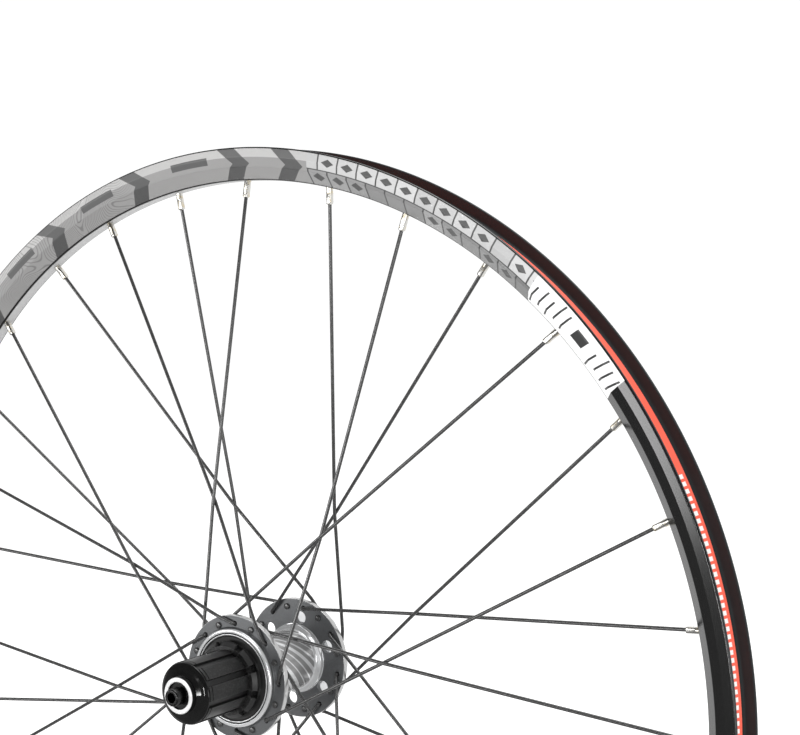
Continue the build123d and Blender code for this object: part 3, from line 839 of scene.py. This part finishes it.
def rotor_outline(angle):
    """Radius of the rotor plate: its disc or, near a boss, the far side of the boss's circle."""
    off = np.radians((angle - window_turn) % 60.0 - 30.0)
    beside = bolt_circle_r * np.sin(off)
    boss = bolt_circle_r * np.cos(off) + np.sqrt(np.maximum(boss_r ** 2 - beside ** 2, 0.0))
    return np.where(np.abs(beside) < boss_r, np.maximum(boss, rotor_plate_r), rotor_plate_r)


sector_steps = 6
step_angle = pitch / sector_steps
drive_root_r = (ratchet_bore_r + neck_r) / 2
disc_root_r = (bearing_r + spigot_r) / 2
belt_r = (window_circle_r + window_d / 2 + hole_r - spoke_hole_d / 2) / 2
drive_holes = lacing_turn + pitch * np.arange(16)
disc_holes = drive_holes + pitch / 2
drive_angles = drive_holes[0] - pitch / 2 + step_angle * np.arange(16 * sector_steps)
disc_angles = drive_angles + pitch / 2
rim_of_flange = level(flange_r - flange_edge)
drive_ring = pierced(
    level(drive_root_r), rim_of_flange, drive_holes - pitch / 2, hole_r, drive_holes,
    spoke_hole_d, drive_out, drive_in,
)
disc_outer = pierced(
    level(belt_r), rim_of_flange, disc_holes - pitch / 2, hole_r, disc_holes,
    spoke_hole_d, disc_in, disc_out,
)
windows = window_turn + 60.0 * np.arange(6)
window_steps = np.round((windows - 30.0 - disc_angles[0]) / step_angle)
window_edges = disc_angles[0] + window_steps * step_angle
disc_inner = pierced(
    level(disc_root_r), level(belt_r), window_edges, window_circle_r, windows,
    window_d, disc_in, disc_out, along=16,
)

rotor_steps = 48
rotor_soft = 0.4
bosses = windows + 30.0
rotor_angles = windows[0] + np.arange(6 * rotor_steps) * 60.0 / rotor_steps
rotor_ring = pierced(
    level(disc_root_r), lambda angle: rotor_outline(angle) - rotor_soft, windows, bolt_circle_r,
    bosses, bolt_hole_d, rotor_back_y, rotor_face_y, along=rotor_steps, across=6,
)
rotor_corners = [
    (-rotor_soft, rotor_face_y), (0.0, rotor_face_y), (0.0, rotor_back_y),
    (-rotor_soft, rotor_back_y),
]
rotor_wall = rounded(rotor_corners, rotor_soft * 0.98)
rotor_radius = rotor_outline(rotor_angles)[:, None] + rotor_wall[None, :, 0]
rotor_side = turned(rotor_radius, rotor_angles[:, None], rotor_wall[None, :, 1])
rotor_inside = turned(disc_root_r, rotor_angles[:, None], np.array([[rotor_back_y, rotor_face_y]]))
piece(
    "turned_hub_shell", "wheel", shell_alloy(), "shell_alloy", "hub_shell",
    (lathe(shell_line, 192), True, True),
    (drive_ring, True, False), *flange_walls(drive_root_r, drive_angles, drive_out, drive_in),
    (disc_outer, True, False), (disc_inner, True, False),
    *flange_walls(disc_root_r, disc_angles, disc_in, disc_out),
    (rotor_ring, True, False), (rotor_side, True, False), (rotor_inside, True, False),
)

seal_lip = 0.4
seal_corners = [
    (seal_bore_r, seal_y), (seal_bore_r + 1.0, seal_y), (seal_bore_r + 1.4, seal_y + seal_lip),
    (mouth_r - 0.8, seal_y + seal_lip), (mouth_r - 0.4, seal_y), (mouth_r - 0.02, seal_y),
    (mouth_r - 0.02, ratchet_start), (seal_bore_r, ratchet_start),
]
seal_line = rounded(seal_corners, np.full(len(seal_corners), 0.25), steps=5, closed=True)
piece("seal_lip", "wheel", black_rubber(), "black_rubber", "driver_seal",
      (lathe(seal_line, 144), True, True))


# Driver body: one closed surface, from the splines over the collar and the pawl carrier and back
# through the bore
def castle(half, low, high):
    """Angles and radii round the axle of nine equal teeth, which reach half to each side."""
    flank = 0.5
    offsets = np.array([
        -land_pitch / 2, -half - 3, -half - flank, -half + flank, -0.7 * half, -0.35 * half,
        0.0, 0.35 * half, 0.7 * half, half - flank, half + flank, half + 3,
    ])
    raised = np.array([0, 0, 0, 1, 1, 1, 1, 1, 1, 1, 0, 0])
    angle = (land_turn + land_pitch * np.arange(9)[:, None] + offsets).ravel()
    return angle, low + (high - low) * np.tile(raised, 9)


def pocket_outline(columns):
    """Angles and radii round the pawl carrier, and even angles for the rows where it is round.

    From its outer wall each pocket has a straight sloping floor, an arc round the pawl's pivot and
    an inner wall.
    """
    arc_start, floor_end = -67.1, 0.8
    arc = np.radians(np.linspace(arc_start, -180.0, 9))
    floor = np.linspace(pocket_out, floor_end, 4)[:-1]
    x = np.concatenate([[pocket_out], floor, pocket_seat_r * np.cos(arc), [-pocket_seat_r]])
    z = np.concatenate([
        [np.sqrt(carrier_r ** 2 - pocket_out ** 2)],
        pocket_floor_r + pocket_slope * floor,
        pawl_pivot_r + pocket_seat_r * np.sin(arc),
        [np.sqrt(carrier_r ** 2 - pocket_seat_r ** 2)],
    ])
    inside = -np.degrees(np.arctan2(x, z))
    even = np.linspace(inside[0], inside[-1], len(inside))
    share = 360.0 / pawl_count
    others = columns // pawl_count - len(inside)
    outside = np.linspace(inside[-1], share + inside[0], others + 2)[1:-1]
    pivots = 90.0 + share * np.arange(pawl_count)[:, None]
    angles = [(pivots + np.concatenate([part, outside])).ravel() for part in (inside, even)]
    radius = np.concatenate([np.hypot(x, z), np.full(others, carrier_r)])
    return *angles, np.tile(radius, pawl_count)


land_angle, land_shape = castle(land_half, root_r, land_r)
tooth_angle, tooth_shape = castle(tooth_half, collar_r, tooth_r)
pocket_angle, carrier_angle, pocket_shape = pocket_outline(len(land_angle))
even_angle = land_angle[0] + np.arange(len(land_angle)) * 360 / len(land_angle)
scribed = np.minimum(land_shape, land_r - 0.35)
driver_rows = [
    (driver_lip_r + 0.2, driver_end, land_angle),
    (land_shape - 0.4, driver_end, land_angle),
    (land_shape - 0.1, driver_end + 0.1, land_angle),
    (land_shape, driver_end + 0.4, land_angle),
    (land_shape, driver_end + 1.5, land_angle),
    (scribed, driver_end + 1.6, land_angle),
    (scribed, driver_end + 2.0, land_angle),
    (land_shape, driver_end + 2.1, land_angle),
    (land_shape, spline_end, land_angle),
    (np.minimum(tooth_shape, tooth_r - tooth_bevel), spline_end, tooth_angle),
    (tooth_shape, spline_end + tooth_bevel, tooth_angle),
    (tooth_shape, collar_y - 0.3, tooth_angle),
    (tooth_shape - 0.3, collar_y, tooth_angle),
    (driver_neck_r, collar_y, tooth_angle),
    (driver_neck_r, driver_neck_y - 0.3, even_angle),
    (driver_neck_r - 0.3, driver_neck_y, even_angle),
    (carrier_r, driver_neck_y, carrier_angle),
    (carrier_r, pocket_start, carrier_angle),
    (pocket_shape, pocket_start, pocket_angle),
    (pocket_shape, pocket_end, pocket_angle),
    (carrier_r, pocket_end, carrier_angle),
    (carrier_r, carrier_end, carrier_angle),
    (sleeve_r, carrier_end, even_angle),
    (sleeve_r, inner_bearing_end, even_angle),
    (bearing_r, inner_bearing_end, even_angle),
    (bearing_r, inner_bearing_y, even_angle),
    (driver_bore_r, inner_bearing_y, even_angle),
    (driver_bore_r, outer_bearing_end, even_angle),
    (bearing_r, outer_bearing_end, even_angle),
    (bearing_r, driver_end + driver_lip_depth, even_angle),
    (driver_lip_r, driver_end + driver_lip_depth, even_angle),
    (driver_lip_r, driver_end + 0.2, even_angle),
]
driver_grid = np.stack([turned(radius, angle, y) for radius, y, angle in driver_rows], 1)
piece("splined_driver", "driver", black_alloy(), "black_alloy", "driver_body",
      (driver_grid, True, True))


# Dust caps, locknuts and axle, all turned
cap_finish = gloss_black()
nut_finish = plated_nut()
fit_gap = 0.05
cap_bore_r = axle_seat_r + fit_gap
nut_bore_r = axle_thread_r + fit_gap
for side, outward, (base_y, base_r, wall_y) in (("drive", -1, drive_cap), ("disc", 1, disc_cap)):
    shoulder_y = wall_y + 0.62 * (nut_back_y - wall_y)
    swell = ((base_r + cap_shoulder_r) / 2, (wall_y + shoulder_y) / 2 + 0.25)
    cap_corners = [
        (cap_bore_r, base_y), (base_r, base_y), (base_r, wall_y), swell,
        (cap_shoulder_r, shoulder_y), (cap_nose_r, nut_back_y), (nut_bore_r, nut_back_y),
        (nut_bore_r, axle_seat_y), (cap_bore_r, axle_seat_y),
    ]
    cap_bends = np.array([0.1, 0.3, 0.8, 4.0, 0.4, 0.4, 0.1, 0.1, 0.1])
    cap_line = rounded(cap_corners, cap_bends, steps=7, closed=True) * (1, outward)
    piece(f"domed_cap_{side}", "axle", cap_finish, "black_cap", f"{side}_end_cap",
          (lathe(cap_line, 144), True, True))
    nut_corners = [
        (nut_bore_r, nut_back_y), (nut_r, nut_back_y), (nut_r, nut_face_y),
        (nut_recess_r, nut_face_y), (nut_recess_r, nut_recess_y), (nut_bore_r, nut_recess_y),
    ]
    nut_bends = np.array([0.2, 0.3, 0.35, 0.3, 0.2, 0.1])
    nut_line = rounded(nut_corners, nut_bends, steps=5, closed=True) * (1, outward)
    piece(f"locknut_ring_{side}", "axle", nut_finish, "bright_steel", f"{side}_locknut",
          (lathe(nut_line, 128), True, True))

half_axle = np.array([
    (axle_bore_r, axle_end_y), (axle_end_r, axle_end_y), (axle_end_r, nut_recess_y),
    (axle_thread_r, nut_recess_y), (axle_thread_r, axle_seat_y), (axle_seat_r, axle_seat_y),
])
end_play = 0.1
shoulder = np.array([
    (axle_seat_r, disc_bearing_y - end_play), (axle_shoulder_r, disc_bearing_y - end_play),
    (axle_shoulder_r, drive_bearing_end + end_play), (axle_seat_r, drive_bearing_end + end_play),
])
axle_corners = np.concatenate([half_axle, shoulder, half_axle[::-1] * (1, -1)])
axle_bends = np.full(len(axle_corners), 0.15)
axle_bends[[1, -2]] = 1.2
axle_line = rounded(axle_corners, axle_bends, closed=True)
axle_finish = turned_steel("blackened_axle_steel", 0.05, 0.2, 0.15)
piece("hollow_axle", "axle", axle_finish, "axle_steel", "axle", (lathe(axle_line, 96), True, True))


# Leaf springs: each lies on the floor of a pocket
def pawl_place(place, y, turn):
    """Points out and up from a pawl's pivot, turned about the axle by degrees."""
    place = np.asarray(place, float) + (0.0, pawl_pivot_r)
    cos, sin = np.cos(radians(turn)), np.sin(radians(turn))
    x, z = place[..., 0], place[..., 1]
    return np.stack([x * cos - z * sin, np.full(x.shape, y), x * sin + z * cos], -1)


def folded_leaf(turn):
    """A strip folded back on itself: a box section swept along the floor and up the free arm.

    The free arm has twelve equal steps.
    """
    share = np.linspace(0, 1, 13)[1:, None]
    inner, outer = (
        np.concatenate([[first, fold], fold + (tip - fold) * share])
        for first, fold, tip in np.array([leaf_inner, leaf_outer])
    )
    corners = [(inner, leaf_start), (outer, leaf_start), (outer, leaf_end), (inner, leaf_end)]
    rows = np.stack([pawl_place(edge, y, turn) for edge, y in corners], 1)
    middle = rows.mean(1, keepdims=True).repeat(4, 1)
    return np.concatenate([middle[:1], rows, middle[-1:]])


spring_finish = turned_steel("spring_steel", 0.6, 0.25, 0.15)
for i in range(pawl_count):
    turn = 360 / pawl_count * i
    leaf = piece(f"folded_leaf_{i + 1}", None, spring_finish, "spring_steel",
                 f"pawl_spring_{i + 1}", (folded_leaf(turn), False, True))
    low, high = pawl_place(leaf_bend, leaf_start, turn) * MILLIMETRE
    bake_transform(leaf)

# Finishes of the solids inside the hub, which are shown as they are
hard_finish = turned_steel("hardened_steel", 0.45, 0.3, 0.2)
spacer_finish = turned_steel("plain_alloy", 0.75, 0.3, 0.15)
bearing_finish = turned_steel("bearing_steel", 0.7, 0.2, 0.15)
inner_finishes = {
    "ratchet": hard_finish, "pawl": hard_finish, "spacer": spacer_finish, "bearing": bearing_finish,
}
for name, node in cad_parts.items():
    for word, finish in inner_finishes.items():
        if word in name:
            node.data.materials.clear()
            node.data.materials.append(finish)


# Floor, light and camera. The floor and the sky behind it are white, and what shines on the object
# is a studio that is bright behind the wheel and dim in front of it.
reach = 9.0
floor_corners = [(-reach, -reach), (reach, -reach), (reach, reach), (-reach, reach)]
floor_mesh = bpy.data.meshes.new("floor")
floor_mesh.from_pydata([(x, y, cad_box[0].z) for x, y in floor_corners], [], [(0, 1, 2, 3)])
floor = bpy.data.objects.new("floor", floor_mesh)
floor.visible_glossy = False
bpy.context.scene.collection.objects.link(floor)
paper = Finish("pale_paper_floor", Roughness=0.9, Specular_IOR_Level=0.1, Emission_Strength=0.38)
paper.set(Base_Color=paper.noise(0.02).blend(grey(0.90), grey(0.92)), Emission_Color=grey(1.0))
floor_mesh.materials.append(paper.material)

world = bpy.data.worlds.new("studio")
bpy.context.scene.world = world
world.use_nodes = True
tree = world.node_tree
way = Socket(tree, tree.nodes.new("ShaderNodeTexCoord").outputs["Generated"])
behind = way.node("SeparateXYZ", {0: way}, output=1).step(-0.25, 0.25)
above = way.node("SeparateXYZ", {0: way}, output=2).step(-0.12, 0.12)
shining = behind.blend(above.blend(grey(0.20), grey(0.06)), grey(1.0))
rays = tree.nodes.new("ShaderNodeLightPath").outputs
seen = Socket(tree, rays["Is Camera Ray"])
mirrored = Socket(tree, rays["Is Glossy Ray"])
sky = seen.blend(mirrored.blend(grey(0.75), shining), grey(1.05))
tree.links.new(sky.output, tree.nodes["Background"].inputs["Color"])


def softbox(name, place, aim, size, power):
    """A rectangular area light at a place, facing a point, in metres and watts."""
    lamp = bpy.data.lights.new(name, "AREA")
    lamp.shape, lamp.size, lamp.size_y, lamp.energy = "RECTANGLE", *size, power
    made = bpy.data.objects.new(name, lamp)
    way = np.array(aim) - np.array(place)
    made.location = place
    tilt = np.arctan2(np.hypot(way[0], way[1]), -way[2])
    made.rotation_euler = (tilt, 0.0, np.arctan2(way[1], way[0]) - np.pi / 2)
    bpy.context.scene.collection.objects.link(made)


softbox("band_light", (-1.07, -1.74, -0.085), (0.0, 0.0, -0.085), (1.1, 0.41), 13.5)
softbox("top_light", (0.1, 0.1, 2.0), (0.0, 0.0, 0.0), (1.4, 1.4), 30)
softbox("side_light", (1.25, -1.0, -0.05), (0.0, 0.0, 0.0), (1.5, 0.45), 6)
softbox("front_light", (0.02, -1.9, -0.17), (0.0, 0.0, 0.0), (0.14, 0.40), 7)

camera = bpy.data.cameras.new("camera")
camera.lens = 73.958
camera.sensor_width = 36.0
camera.clip_start, camera.clip_end = 0.05, 50.0
viewer = bpy.data.objects.new("camera", camera)
viewer.location = (0.57774, -0.72601, 0.26193)
viewer.rotation_euler = tuple(radians(a) for a in (84.796, -2.182, 34.037))
bpy.context.scene.collection.objects.link(viewer)
bpy.context.scene.camera = viewer
bpy.context.scene.view_settings.view_transform = "Standard"
